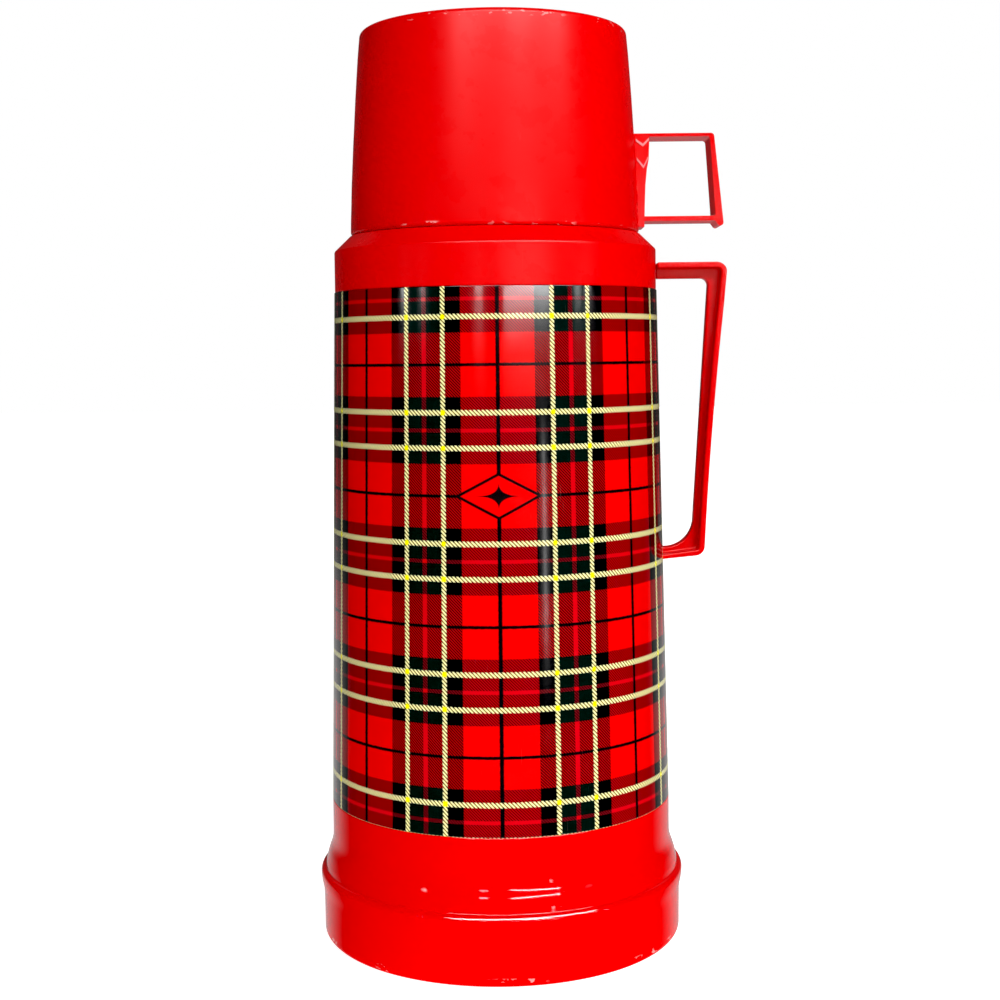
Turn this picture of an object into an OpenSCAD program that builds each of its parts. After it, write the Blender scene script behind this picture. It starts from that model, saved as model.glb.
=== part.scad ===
// Vacuum flask: a drinking cup over a screw stopper, a silvered glass
// bottle in a printed tapering sleeve, a moulded base and two side handles.
// Millimetres. +Z is up, the axis is X = Y = 0, the flask stands on Z = 0,
// and both handles point along +X.

/* [Base] */
// Largest radius of the foot
foot_r = 69.3; // [66:0.1:73]
// Height of the foot's upper edge
foot_h = 25.8; // [23:0.1:28]
// Height at which the base ends and the sleeve begins
sleeve_z = 51.8; // [48:0.1:54]
// Wall of the base
base_wall = 2.6; // [2:0.1:3]

/* [Sleeve] */
// Outer radius of the sleeve at the bottom
sleeve_r_low = 64.5; // [63.5:0.1:65]
// Outer radius of the sleeve at the top
sleeve_r_top = 60.95; // [60.5:0.05:61.5]
// Height at which the sleeve ends and the shoulder begins
shoulder_z = 243.2; // [240:0.2:246]
// Wall of the sleeve
sleeve_wall = 1; // [0.6:0.1:1.2]

/* [Shoulder and neck] */
// Top of the shoulder, where the cup's rim sits
rim_z = 264.3; // [262:0.1:268]
// Radius of the shoulder's top, under the cup's rim
shoulder_top_r = 54.6; // [53:0.1:56]
// Radius of the neck inside its thread
neck_r = 49.4; // [48.8:0.1:49.4]
// Height of the neck's top plate
neck_z = 281.5; // [280:0.1:282]

/* [Cup] */
// Top of the closed cup
cup_z = 340; // [339:0.5:360]
// Radius of the cup's closed end
cup_top_r = 50.2; // [49.5:0.1:51]
// Radius of the cup near its rim
cup_rim_r = 54.4; // [54.2:0.1:55]
// Wall of the cup near its rim
cup_wall = 2.2; // [1.8:0.1:2.4]
// Lead of the cup's three-start thread
cup_lead = 15; // [12:1:15]

/* [Stopper] */
// Lead of the stopper's two-start thread
stopper_lead = 8; // [7:0.5:9]
// Radius of the stopper's grip
grip_r = 29; // [26:0.5:31]
// Number of flutes round the grip
flutes = 16; // [8:1:24]

/* [Glass bottle] */
// Outer radius of the outer glass
glass_r = 54; // [50:0.5:55]
// Wall of each glass
glass_wall = 1.7; // [1.2:0.1:2]
// Space between the two glasses
vacuum_gap = 3.8; // [3:0.2:5]

/* [Handles] */
// Width of the body handle, front to back
handle_w = 18; // [14:1:22]
// Reach of the body handle's upper corner from the axis
handle_x = 86.95; // [85:0.05:90]
// Width of the cup's handle, front to back
cup_handle_w = 15; // [12:1:18]

/* [Hidden] */
$fn = 96;
e = 0.01;

red = [0.86, 0.02, 0.03];
dark_red = [0.62, 0.01, 0.02];
tartan = [0.45, 0.03, 0.04];
white_plastic = [0.92, 0.90, 0.84];
rubber_grey = [0.20, 0.20, 0.21];
foam = [0.80, 0.76, 0.66];
silver = [0.82, 0.84, 0.86];
steel = [0.70, 0.71, 0.73];

// slope of the sleeve, and its outer radius at any height
sleeve_slope = (sleeve_r_low - sleeve_r_top) / (shoulder_z - sleeve_z);
function sleeve_r(z) = sleeve_r_low - sleeve_slope * (z - sleeve_z);

// points of an arc in the drawing plane
function arc(cx, cy, r, a0, a1, n = 8) =
  [for (i = [0:n]) [cx + r * cos(a0 + (a1 - a0) * i / n), cy + r * sin(a0 + (a1 - a0) * i / n)]];
// points of a quarter of an ellipse
function ell(cx, cy, rx, ry, a0, a1, n = 10) =
  [for (i = [0:n]) [cx + rx * cos(a0 + (a1 - a0) * i / n), cy + ry * sin(a0 + (a1 - a0) * i / n)]];

// one thread ridge: it climbs with the angle, so it is right-handed
module ridge(r_wall, r_crest, lead, z0, a0, turn, w_wall, w_crest, steps) {
  out = r_crest > r_wall;
  r_in = r_wall + (out ? -0.8 : 0.8);
  pts = [for (i = [0:steps])
    let (a = turn * i / steps, z = z0 + lead * a / 360,
      full = (i == 0 || i == steps) ? 0.1 : 1,
      rc = r_wall + (r_crest - r_wall) * full)
    each [for (p = [[r_in, -w_wall / 2], [r_in, w_wall / 2], [rc, w_crest / 2], [rc, -w_crest / 2]])
      [p[0] * cos(a0 + a), p[0] * sin(a0 + a), z + p[1]]]];
  sides = [for (i = [0:steps - 1], j = [0:3])
    let (k = (j + 1) % 4) [4 * i + j, 4 * i + 4 + j, 4 * i + 4 + k, 4 * i + k]];
  caps = [[0, 1, 2, 3], [4 * steps + 3, 4 * steps + 2, 4 * steps + 1, 4 * steps]];
  tris = [for (f = concat(sides, caps)) each [[f[0], f[1], f[2]], [f[0], f[2], f[3]]]];
  polyhedron(pts, out ? tris : [for (t = tris) [t[2], t[1], t[0]]]);
}

// ring with a plain bore
module ring(r_out, r_in, z0, z1) {
  translate([0, 0, z0]) difference() {
    cylinder(r = r_out, h = z1 - z0);
    translate([0, 0, -1]) cylinder(r = r_in, h = z1 - z0 + 2);
  }
}

// ---------- base ----------

collar_r = sleeve_r_low;
floor_z = 3.2;
lip_r = 2.4;

module base_cup() {
  color(red) difference() {
    // foot, rounded lip, S-shaped flare up to the collar, and the spigot inside the sleeve
    rotate_extrude($fn = 128) polygon(concat(
        [[0, 0], [foot_r - 3.6, 0]],
        arc(foot_r - 3.6, 2.4, 2.4, -90, -5, 5),
        [[foot_r - 1.05, foot_h - 9.6], [foot_r - 0.7, foot_h - 7.2], [foot_r - 0.1, foot_h - 4.2]],
        arc(foot_r - lip_r, foot_h - lip_r, lip_r, 0, 60, 4),
        [[foot_r - 2, foot_h + 1], [foot_r - 2.3, foot_h + 2.6], [collar_r + 1.75, foot_h + 5.2],
         [collar_r + 0.9, foot_h + 7.5], [collar_r + 0.25, foot_h + 9.6], [collar_r, foot_h + 12],
         [collar_r, sleeve_z],
         [sleeve_r_low - sleeve_wall - 0.3, sleeve_z],
         [sleeve_r_low - sleeve_wall - 0.3, sleeve_z + 8],
         [sleeve_r_low - sleeve_wall - 2.3, sleeve_z + 8], [0, sleeve_z + 8]]));
    // inside: straight behind the collar, wider behind the foot
    rotate_extrude($fn = 128) polygon([[0, floor_z], [foot_r - base_wall - 2.6, floor_z],
      [foot_r - base_wall - 1.1, floor_z + 2], [foot_r - base_wall - 1.1, foot_h - 6],
      [collar_r - base_wall, foot_h], [collar_r - base_wall - 1, sleeve_z],
      [collar_r - base_wall - 1, sleeve_z + 9], [0, sleeve_z + 9]]);
    // shallow ring in the underside: the foot outside it and the disc inside it share one plane
    translate([0, 0, -1]) ring(56, 50, 0, 1.8);
  }
}

module base_cushion() {
  color(rubber_grey) difference() {
    ring(40, 22, floor_z, 26);
    bottle_solid(0.15);
  }
}

module tip_cap() {
  color(rubber_grey) difference() {
    translate([0, 0, floor_z]) cylinder(r = 7, h = 10.5, $fn = 48);
    bottle_solid(0.15);
  }
}

// ---------- sleeve and its rings ----------

module tartan_sleeve() {
  color(tartan) difference() {
    rotate_extrude($fn = 128) polygon([[sleeve_r_low - sleeve_wall, sleeve_z], [sleeve_r_low, sleeve_z],
      [sleeve_r_top, shoulder_z], [sleeve_r_top - sleeve_wall, shoulder_z]]);
    // hole for the body handle's lower boss
    translate([55, 0, low_arm_z]) rotate([0, 90, 0]) cylinder(r = boss_r + 0.15, h = 15, $fn = 32);
  }
}

module lower_ring() { color(foam) ring(sleeve_r(74) - sleeve_wall - 0.3, glass_r + 0.2, 62, 74); }
module upper_ring() { color(foam) ring(sleeve_r(208) - sleeve_wall - 0.3, glass_r + 0.2, 196, 208); }

// ---------- glass bottle ----------

glass_low = 60;
glass_high = 212;
glass_drop = 45;
glass_rise = 38;
mouth_r = 26.5;
lip_z = 262;
inner_r = glass_r - glass_wall - vacuum_gap;

// outline of a closed bottle body: radius, bottom drop, rise, neck radius, end of the neck
function bottle(r, drop, rise, nr, zt) = concat([[0, glass_low - drop]],
  ell(0, glass_low, r, drop, -82, 0, 9), ell(nr, glass_high, r - nr, rise, 0, 82, 9),
  [[nr, glass_high + rise], [nr, zt], [0, zt]]);

module bottle_solid(grow) {
  rotate_extrude($fn = 96) polygon(bottle(glass_r + grow, glass_drop + grow, glass_rise + grow,
    mouth_r + grow, lip_z));
  // seal-off tip
  translate([0, 0, glass_low - glass_drop - 7.5 - grow])
    cylinder(r1 = 2.4 + grow, r2 = 4.2 + grow, h = 8.6, $fn = 32);
}

module outer_glass() {
  g = glass_wall;
  color(silver) difference() {
    bottle_solid(0);
    rotate_extrude($fn = 96)
      polygon(bottle(glass_r - g, glass_drop - g, glass_rise - g, mouth_r - g, lip_z + 1));
    translate([0, 0, lip_z - g]) cylinder(r = mouth_r + 2, h = g + 2);
  }
}

module inner_glass() {
  g = glass_wall;
  drop = glass_drop - g - vacuum_gap - 3;
  rise = glass_rise - g - vacuum_gap;
  color(silver) difference() {
    union() {
      rotate_extrude($fn = 96) polygon(bottle(inner_r, drop, rise, 23.5, lip_z));
      translate([0, 0, lip_z - g]) cylinder(r = mouth_r, h = g);
    }
    rotate_extrude($fn = 96) polygon(bottle(inner_r - g, drop - g, rise - g, 23.5 - g, lip_z + 1));
  }
}

// three pads that keep the two glasses apart
module glass_pads() {
  color(foam) intersection() {
    ring(glass_r - glass_wall - 0.1, inner_r + 0.1, 62, 84);
    for (a = [30, 150, 270]) rotate([0, 0, a]) translate([inner_r - 5, 0, 73]) rotate([0, 90, 0])
      cylinder(r = 6, h = 14, $fn = 48);
  }
}

// ---------- shoulder, neck and pouring ring ----------

male_z0 = 267.5;
male_crest = neck_r + 1.5;

module shoulder() {
  r1 = sleeve_r_top - 0.25;
  color(red) difference() {
    union() {
      rotate_extrude($fn = 128) polygon([[0, shoulder_z - 10], [r1 - sleeve_wall - 0.1, shoulder_z - 10],
        [r1 - sleeve_wall - 0.1, shoulder_z], [r1, shoulder_z], [r1, rim_z - 5.9], [shoulder_top_r, rim_z],
        [neck_r, rim_z], [neck_r, neck_z - 1.2], [neck_r - 1.2, neck_z], [0, neck_z]]);
      for (k = [0:2]) ridge(neck_r, male_crest, cup_lead, male_z0, 120 * k, 200, 1.8, 1, 16);
    }
    rotate_extrude($fn = 128) polygon([[0, shoulder_z - 11], [r1 - 3.4, shoulder_z - 11],
      [r1 - 3.4, rim_z - 7], [shoulder_top_r - 2.4, rim_z - 2.2], [neck_r - 2.4, rim_z - 2.2],
      [neck_r - 2.4, neck_z - 2.5], [0, neck_z - 2.5]]);
    translate([0, 0, neck_z - 4]) cylinder(r = 30.8, h = 8);
    // slot for the body handle's tenon
    translate([r1 - 8, -web_w / 2 - 0.05, arm_z - 2.1]) cube([12, web_w + 0.1, 4.2]);
  }
}

module mouth_gasket() { color(rubber_grey) ring(29.5, 22.4, lip_z, lip_z + 2.5); }

bore_r = 24;

module pouring_ring() {
  z0 = lip_z + 2.5;
  color(white_plastic) union() {
    difference() {
      rotate_extrude() polygon([[0, z0], [30.6, z0], [30.6, neck_z], [34, neck_z],
        [34, neck_z + 1.6], [33, neck_z + 2.4], [27.6, neck_z + 2.6], [27.2, neck_z + 5],
        [26.4, neck_z + 5.6], [0, neck_z + 5.6]]);
      translate([0, 0, z0 + 3.5]) cylinder(r = bore_r, h = 30);
      translate([0, 0, z0 - 1]) cylinder(r = 20.6, h = 10);
    }
    for (k = [0:1]) ridge(bore_r, bore_r - 1.3, stopper_lead, 272.5,
      180 * k + (272.5 - 276) / stopper_lead * 360, 300, 1.5, 0.8, 24);
  }
}

// ---------- stopper ----------

seat_z = lip_z + 6.1;
seal_t = 2.1;
knob_z = neck_z + 6;
nose_z = 257.6;

module stopper_seal() { color(rubber_grey) ring(22.2, 18.3, seat_z, seat_z + seal_t); }

module stopper_body() {
  z1 = seat_z + seal_t + 0.05;
  color(red) union() {
    difference() {
      union() {
        rotate_extrude() polygon([[0, nose_z], [18.5, nose_z], [19.8, nose_z + 1.2],
          [20.1, nose_z + 2.5], [20.1, seat_z - 0.2], [18, seat_z - 0.2], [18, z1], [22, z1],
          [22, knob_z], [grip_r - 1.5, knob_z], [grip_r, knob_z + 1.2],
          [grip_r, knob_z + 8], [0, knob_z + 8]]);
      }
      translate([0, 0, nose_z + 2.2]) cylinder(r = 16, h = 50);
      for (i = [0:flutes - 1]) rotate([0, 0, 360 / flutes * i]) translate([grip_r + 1.6, 0, knob_z - 1])
        cylinder(r = 2.8, h = 12, $fn = 24);
    }
    for (k = [0:1]) ridge(22, 23.5, stopper_lead, 274, 180 * k, 270, 1.5, 0.8, 20);
  }
}

module stopper_cap() {
  z = knob_z + 8;
  color(red) rotate_extrude() polygon(concat(
    [[0, z - 6], [15.8, z - 6], [15.8, z], [grip_r - 3.2, z], [grip_r - 3.2, z + 2.6]],
    arc(grip_r - 6.2, z + 2.6, 3, 0, 80, 4), [[12, z + 6.3], [0, z + 6.5]]));
}

module stopper_core() {
  color(foam) translate([0, 0, nose_z + 2.3]) cylinder(r = 15.7, h = knob_z - nose_z - 0.4);
}

// ---------- cup ----------

female_crest = neck_r + 0.6;
seal_z = neck_z + 0.05;

// outline of the outside of the cup, grown by g
function cup_side(g) = [[cup_top_r + g, cup_z - 1.8],
  [bulge(0.30) + g, cup_z - 17], [bulge(0.56) + g, cup_z - 34], [bulge(0.78) + g, cup_z - 50],
  [bulge(0.93) + g, rim_z + 11], [cup_rim_r + g, rim_z + 2.4]];
function bulge(part) = cup_top_r + (cup_rim_r - cup_top_r) * part;

module cup() {
  w = cup_wall;
  color(red) union() {
    difference() {
      union() {
        rotate_extrude($fn = 128) polygon(concat([[0, cup_z], [cup_top_r - 1.8, cup_z]],
          arc(cup_top_r - 1.8, cup_z - 1.8, 1.8, 80, 10, 4), cup_side(0),
          [[cup_rim_r - 0.5, rim_z + 0.5], [cup_rim_r - 1.2, rim_z + 0.1], [0, rim_z + 0.1]]));
        // rail that the cup's handle slides on
        rail(0);
      }
      rotate_extrude($fn = 128) polygon([[0, rim_z - 1], [cup_rim_r - w - 0.7, rim_z - 1],
        [cup_rim_r - w - 0.7, seal_z + 3], [cup_top_r - w - 0.6, cup_z - 8],
        [cup_top_r - w - 4, cup_z - 2.6], [0, cup_z - 2.6]]);
    }
    for (k = [0:2]) ridge(cup_rim_r - w - 0.7, female_crest, cup_lead, 266.8,
      120 * k + (266.8 - 270) / cup_lead * 360, 200, 1.8, 1, 16);
  }
}

module rail(g) {
  translate([0, 0, rim_z + 8 - g]) linear_extrude(height = 26 + 2 * g)
    polygon([[52.6, -2.4 - g], [55.4 + g, -3.2 - g], [55.4 + g, 3.2 + g], [52.6, 2.4 + g]]);
}

module cup_seal() { color(rubber_grey) ring(50.7, 46, seal_z, seal_z + 1.5); }

// the cup's handle: a wedge against the cup and a thin square loop
cup_arm_z = cup_z - 38.6;
cup_low_z = rim_z + 4.5;

module cup_handle() {
  cw = cup_handle_w;
  color(red) difference() {
    // the wedge and the loop in one outline, less the finger gap
    rotate([90, 0, 0]) translate([0, 0, -cw / 2]) linear_extrude(height = cw) difference() {
      polygon(concat([[52, cup_arm_z], [54.2, cup_low_z - 2.1], [56.1, cup_low_z - 2.1], [56.15, cup_low_z],
        [82.6, cup_low_z]], arc(84.6, cup_low_z - 0.7, 1.2, -140, 5, 6),
        arc(81.15, cup_arm_z - 1.3, 1.3, 5, 90, 5)));
      polygon(concat([[56.2, cup_low_z + 1.8]], arc(82, cup_low_z + 2.6, 0.8, -90, 4, 4),
        arc(79.7, cup_arm_z - 2.4, 1.2, 4, 90, 4), [[58.16, cup_arm_z - 1.2], [57.9, cup_arm_z - 9.5],
        [57.2, cup_arm_z - 13], [56.6, cup_arm_z - 19], [56.3, cup_arm_z - 27]]));
    }
    // the cup's own outside, and its rail with room to slide
    rotate_extrude($fn = 128) polygon(concat([[0, cup_z], [cup_top_r, cup_z]], cup_side(0.06),
      [[cup_rim_r + 0.06, rim_z - 5], [0, rim_z - 5]]));
    rail(0.12);
  }
}

// ---------- body handle ----------

arm_top = shoulder_z + 10.15;
arm_z = arm_top - 3;
low_arm_z = 143.4;
low_z = 146.5;
strap_h = 101.6;
// thickness of the outer band, and width of the rib inside it
band_t = 2.1;
web_w = 5.6;
boss_r = 1.95;
// outer line of the strap leans in and curves a little; the inner line is straight
function strap_out(z) = let (t = (z - low_z) / strap_h) handle_x - 8.8 + 5.6 * t + 3.2 * t * t;
function strap_in(z) = handle_x - 12.35 + 5.8 * (z - low_z - 10) / 87;

// outline of the handle, with its outside moved in by d
module handle_side(d) {
  polygon(concat([[59, arm_top - 5.85], [59, arm_top - d]],
    arc(handle_x - 3.8, arm_top - 3.8, 3.8 - d, 90, 8, 5),
    [for (i = [9:-1:1]) let (z = low_z + strap_h * i / 10) [strap_out(z) - d, z]],
    arc(strap_out(low_z) - 3.6, low_z - 0.2, 3.6 - d, 0, -85, 6), [[59, low_arm_z - 2.1 + d * 0.75]],
    [[59, low_arm_z + 2]], ell(handle_x - 23.15, low_z + 10, 10.8, 11.1, -90, 0, 8),
    [for (i = [2:8]) let (z = low_z + strap_h * i / 10) [strap_in(z), z]],
    arc(strap_in(arm_top - 8.5) - 2.6, arm_top - 8.45, 2.6, 0, 90, 4)));
}

// a flat shape of the handle, given its width front to back
module wide(width) {
  rotate([90, 0, 0]) translate([0, 0, -width / 2]) linear_extrude(height = width) children();
}

module body_handle() {
  color(red) difference() {
    union() {
      difference() {
        union() {
          // a wide band outside, and a narrow rib inside it
          wide(handle_w) difference() {
            handle_side(0);
            handle_side(band_t);
          }
          wide(web_w) handle_side(0);
        }
        // both ends hollowed to sit on the shoulder and on the sleeve
        translate([0, 0, shoulder_z - 5]) cylinder(r = sleeve_r_top - 0.2, h = 25, $fn = 128);
        translate([0, 0, sleeve_z]) cylinder(r1 = sleeve_r_low + 0.05, r2 = sleeve_r_top + 0.05,
          h = shoulder_z - sleeve_z, $fn = 128);
      }
      // tenon into the shoulder, boss through the sleeve
      translate([58.2, -web_w / 2, arm_z - 2]) cube([5, web_w, 4]);
      translate([61.7, 0, low_arm_z]) rotate([0, 90, 0]) cylinder(r = boss_r, h = 3, $fn = 32);
    }
    for (z = [arm_z, low_arm_z]) translate([50, 0, z]) rotate([0, 90, 0])
      cylinder(r = screw_r + 0.05, h = 20.5, $fn = 24);
  }
}

screw_r = 1;
head_t = 1.4;
plate_r = sleeve_r(low_arm_z + 9) - sleeve_wall - 1.4;

// two screws, put in from inside before the glass
module handle_screws() {
  color(steel) {
    screw(sleeve_r_top - 3.85 - head_t, arm_z);
    screw(plate_r - 0.15 - head_t, low_arm_z);
  }
}

// a screw along +X whose head begins at x0
module screw(x0, z) {
  translate([x0, 0, z]) rotate([0, 90, 0]) difference() {
    union() {
      cylinder(r = 2.4, h = head_t, $fn = 32);
      cylinder(r = screw_r, h = 70 - x0, $fn = 24);
    }
    translate([-0.3, -1.8, -1]) cube([0.6, 3.6, 1.6]);
  }
}

// curved steel plate behind the lower screw
module handle_plate() {
  color(steel) {
    difference() {
      intersection() {
        ring(plate_r + 1.3, plate_r, low_arm_z - 9, low_arm_z + 9);
        translate([50, -10, low_arm_z - 9]) cube([20, 20, 18]);
      }
      translate([50, 0, low_arm_z]) rotate([0, 90, 0]) cylinder(r = 1.4, h = 20, $fn = 24);
    }
  }
}

base_cup();
base_cushion();
tip_cap();
tartan_sleeve();
lower_ring();
upper_ring();
outer_glass();
inner_glass();
glass_pads();
shoulder();
mouth_gasket();
pouring_ring();
body_handle();
handle_screws();
handle_plate();
cup_seal();
cup();
cup_handle();
stopper_seal();
stopper_body();
stopper_cap();
stopper_core();
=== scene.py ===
import bpy, bmesh, math
from mathutils import Matrix, Vector


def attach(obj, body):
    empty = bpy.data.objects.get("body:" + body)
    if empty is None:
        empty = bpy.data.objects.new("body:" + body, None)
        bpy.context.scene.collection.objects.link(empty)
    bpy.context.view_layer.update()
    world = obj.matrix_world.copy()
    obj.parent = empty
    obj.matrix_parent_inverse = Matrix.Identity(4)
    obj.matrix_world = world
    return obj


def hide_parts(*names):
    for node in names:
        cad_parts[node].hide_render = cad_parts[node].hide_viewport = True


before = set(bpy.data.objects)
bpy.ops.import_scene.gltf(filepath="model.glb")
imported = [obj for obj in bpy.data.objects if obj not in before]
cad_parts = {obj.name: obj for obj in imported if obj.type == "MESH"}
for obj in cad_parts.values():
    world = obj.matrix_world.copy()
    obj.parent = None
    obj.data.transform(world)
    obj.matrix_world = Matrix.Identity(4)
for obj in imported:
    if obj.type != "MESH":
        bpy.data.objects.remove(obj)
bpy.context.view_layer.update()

# ---------------------------------------------------------------- base
# The base is one red moulding: a broad foot with a rounded lip, an S-shaped flare
# above it, and a collar that the sleeve sits on. It comes out of the mould hollow
# and glossy, with every edge slightly rounded.

MM = 0.001


def turned(outline, steps=192, closed=False):
    """Spins an outline of (radius, height) points, in millimetres, once round the flask's axis."""
    bm = bmesh.new()
    points = [bm.verts.new((r * MM, 0, z * MM)) for r, z in outline]
    lines = [bm.edges.new(pair) for pair in zip(points, points[1:])]
    if closed:
        lines.append(bm.edges.new((points[-1], points[0])))
    bmesh.ops.spin(bm, geom=points + lines, cent=(0, 0, 0), axis=(0, 0, 1), angle=math.tau,
                   steps=steps, use_merge=True)
    bmesh.ops.remove_doubles(bm, verts=bm.verts, dist=2e-6)
    bmesh.ops.recalc_face_normals(bm, faces=bm.faces)
    return bm


def bow(cx, cz, r, start, end, parts=6, rz=None):
    """Points of a round edge or fillet in an outline: centre, radius, and angles in degrees.

    With rz the curve is an ellipse that is r wide and rz high.
    """
    rz = r if rz is None else rz
    angles = [math.radians(start + (end - start) * i / parts) for i in range(parts + 1)]
    return [(cx + r * math.cos(a), cz + rz * math.sin(a)) for a in angles]


def make_piece(bm, name, material, body, node):
    """Makes the finished object, smooth-shaded, riding on its body in place of its CAD node."""
    mesh = bpy.data.meshes.new(name)
    bm.to_mesh(mesh)
    bm.free()
    mesh.shade_smooth()
    obj = bpy.data.objects.new(name, mesh)
    bpy.context.scene.collection.objects.link(obj)
    mesh.materials.append(material)
    weighted = obj.modifiers.new("even_shading", "WEIGHTED_NORMAL")
    weighted.weight, weighted.keep_sharp = 60, True
    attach(obj, body)
    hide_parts(node)
    return obj


class Wiring:
    """Short ways to add and join shader nodes."""

    def __init__(self, tree):
        self.tree = tree

    def add(self, kind, **settings):
        node = self.tree.nodes.new(kind)
        for key, value in settings.items():
            setattr(node, key, value)
        return node

    def put(self, value, socket):
        """Joins another node's output to the socket, or sets the socket to a plain value."""
        if isinstance(value, bpy.types.NodeSocket):
            self.tree.links.new(value, socket)
        elif isinstance(value, (tuple, list)) and len(value) == 3 and socket.type == "RGBA":
            socket.default_value = (*value, 1)
        else:
            socket.default_value = value

    def fill(self, node, values):
        """Puts each value into the node's input of that name."""
        for key, value in values.items():
            self.put(value, node.inputs[key])
        return node

    def calc(self, how, *values):
        node = self.add("ShaderNodeMath", operation=how)
        for value, socket in zip(values, node.inputs):
            self.put(value, socket)
        return node.outputs[0]

    def plus(self, a, b):
        return self.calc("ADD", a, b)

    def minus(self, a, b):
        return self.calc("SUBTRACT", a, b)

    def times(self, a, b):
        return self.calc("MULTIPLY", a, b)

    def over(self, a, b):
        return self.calc("DIVIDE", a, b)

    def most(self, a, b):
        return self.calc("MAXIMUM", a, b)

    def size(self, a):
        return self.calc("ABSOLUTE", a)

    def under(self, value, limit, soft):
        """1 where value is below the limit and 0 above it, with a soft step between."""
        node = self.add("ShaderNodeMapRange", interpolation_type="SMOOTHSTEP")
        self.fill(node, {"Value": value, "From Min": limit - soft, "From Max": limit + soft,
                         "To Min": 1.0, "To Max": 0.0})
        return node.outputs[0]

    def above(self, value, limit, soft):
        """0 where value is below the limit and 1 above it, with a soft step between."""
        return self.minus(1.0, self.under(value, limit, soft))

    def blend(self, mask, under, over):
        """One colour where the mask is 0 and the other where it is 1."""
        node = self.add("ShaderNodeMix", data_type="RGBA")
        self.put(mask, node.inputs[0])
        self.put(under, node.inputs[6])
        self.put(over, node.inputs[7])
        return node.outputs[2]

    def noise(self, where, scale, detail=2.0, roughness=0.5, stretch=None, turn=(0, 0, 0)):
        if stretch:
            place = self.add("ShaderNodeMapping")
            self.fill(place, {"Vector": where, "Scale": stretch, "Rotation": turn})
            where = place.outputs[0]
        node = self.add("ShaderNodeTexNoise")
        self.fill(node, {"Vector": where, "Scale": scale, "Detail": detail, "Roughness": roughness})
        return node.outputs[0]

    def bump(self, height, strength, distance):
        """The normal of a surface with this height over it: distance is how deep, in metres."""
        node = self.add("ShaderNodeBump")
        self.fill(node, {"Strength": strength, "Distance": distance, "Height": height})
        return node.outputs[0]


def new_group(name, ins, outs):
    """A shader node group with named sockets: (name, kind, default) going in and (name, kind) out."""
    tree = bpy.data.node_groups.new(name, "ShaderNodeTree")
    kinds = {"number": "NodeSocketFloat", "colour": "NodeSocketColor", "place": "NodeSocketVector"}
    for label, kind, default in ins:
        socket = tree.interface.new_socket(label, in_out="INPUT", socket_type=kinds[kind])
        if default is not None:
            socket.default_value = default
    for label, kind in outs:
        tree.interface.new_socket(label, in_out="OUTPUT", socket_type=kinds[kind])
    w = Wiring(tree)
    return tree, w, w.add("NodeGroupInput").outputs, w.add("NodeGroupOutput").inputs


def handling_marks_group():
    """Fine scratches, slight fading and the faint ripple of a moulded face."""
    ins = [("Place", "place", None),
           ("Color", "colour", (0.8, 0, 0, 1)),
           ("Faded Color", "colour", (0.7, 0, 0, 1)),
           ("Scratch Color", "colour", (0.9, 0.4, 0.35, 1)),
           ("Scratches", "number", 0.3),
           ("Roughness", "number", 0.2)]
    outs = [("Color", "colour"), ("Roughness", "number"), ("Height", "number")]
    tree, w, i, o = new_group("handling_marks", ins, outs)
    place = i["Place"]
    # hair scratches in three directions: very fine across, long the other way
    streak_stretch = (2600, 2600, 60)
    lines = []
    for turn in ((0.3, 0.2, 0.4), (1.1, 0.5, 1.7), (0.5, 1.3, 2.6)):
        lines.append(w.above(w.noise(place, 1.0, 1.0, 0.5, streak_stretch, turn), 0.765, 0.015))
    all_lines = w.most(w.most(lines[0], lines[1]), lines[2])
    patches = w.above(w.noise(place, 38, 3.0, 0.6), 0.58, 0.06)
    scratch = w.times(w.times(all_lines, patches), i["Scratches"])
    fade = w.noise(place, 14, 3.0, 0.55)
    colour = w.blend(fade, i["Color"], i["Faded Color"])
    w.put(w.blend(w.times(scratch, 0.6), colour, i["Scratch Color"]), o["Color"])
    cloudy = w.times(w.minus(w.noise(place, 90, 4.0, 0.6), 0.5), 0.10)
    rough = w.plus(w.plus(i["Roughness"], cloudy), w.times(scratch, 0.35))
    w.put(rough, o["Roughness"])
    ripple = w.times(w.noise(place, 210, 1.0, 0.4), 0.5)
    w.put(w.minus(ripple, w.times(scratch, 0.8)), o["Height"])
    return tree


def edge_nicks_group():
    """Small pale nicks along a ring-shaped edge at one height, where the piece gets knocked."""
    ins = [("Place", "place", None),
           ("Edge Height", "number", 0.1),
           ("Reach", "number", 0.001),
           ("Amount", "number", 0.5)]
    tree, w, i, o = new_group("edge_nicks", ins, [("Mask", "number")])
    split = w.add("ShaderNodeSeparateXYZ")
    w.put(i["Place"], split.inputs[0])
    off = w.over(w.size(w.minus(split.outputs[2], i["Edge Height"])), i["Reach"])
    near = w.under(off, 0.75, 0.35)
    chips = w.above(w.noise(i["Place"], 330, 2.0, 0.5, (1, 1, 2.2)), 0.62, 0.02)
    areas = w.above(w.noise(i["Place"], 30, 2.0, 0.5), 0.52, 0.05)
    mask = w.times(w.times(near, chips), w.times(areas, i["Amount"]))
    w.put(mask, o["Mask"])
    return tree


MARKS = handling_marks_group()
NICKS = edge_nicks_group()
NICK = (0.95, 0.70, 0.66)


def new_material(name):
    """A material, its wiring, its shader, and the place on the piece that its patterns follow."""
    material = bpy.data.materials.new(name)
    material.use_nodes = True
    w = Wiring(material.node_tree)
    place = w.add("ShaderNodeTexCoord").outputs["Object"]
    return material, w, material.node_tree.nodes["Principled BSDF"], place


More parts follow.
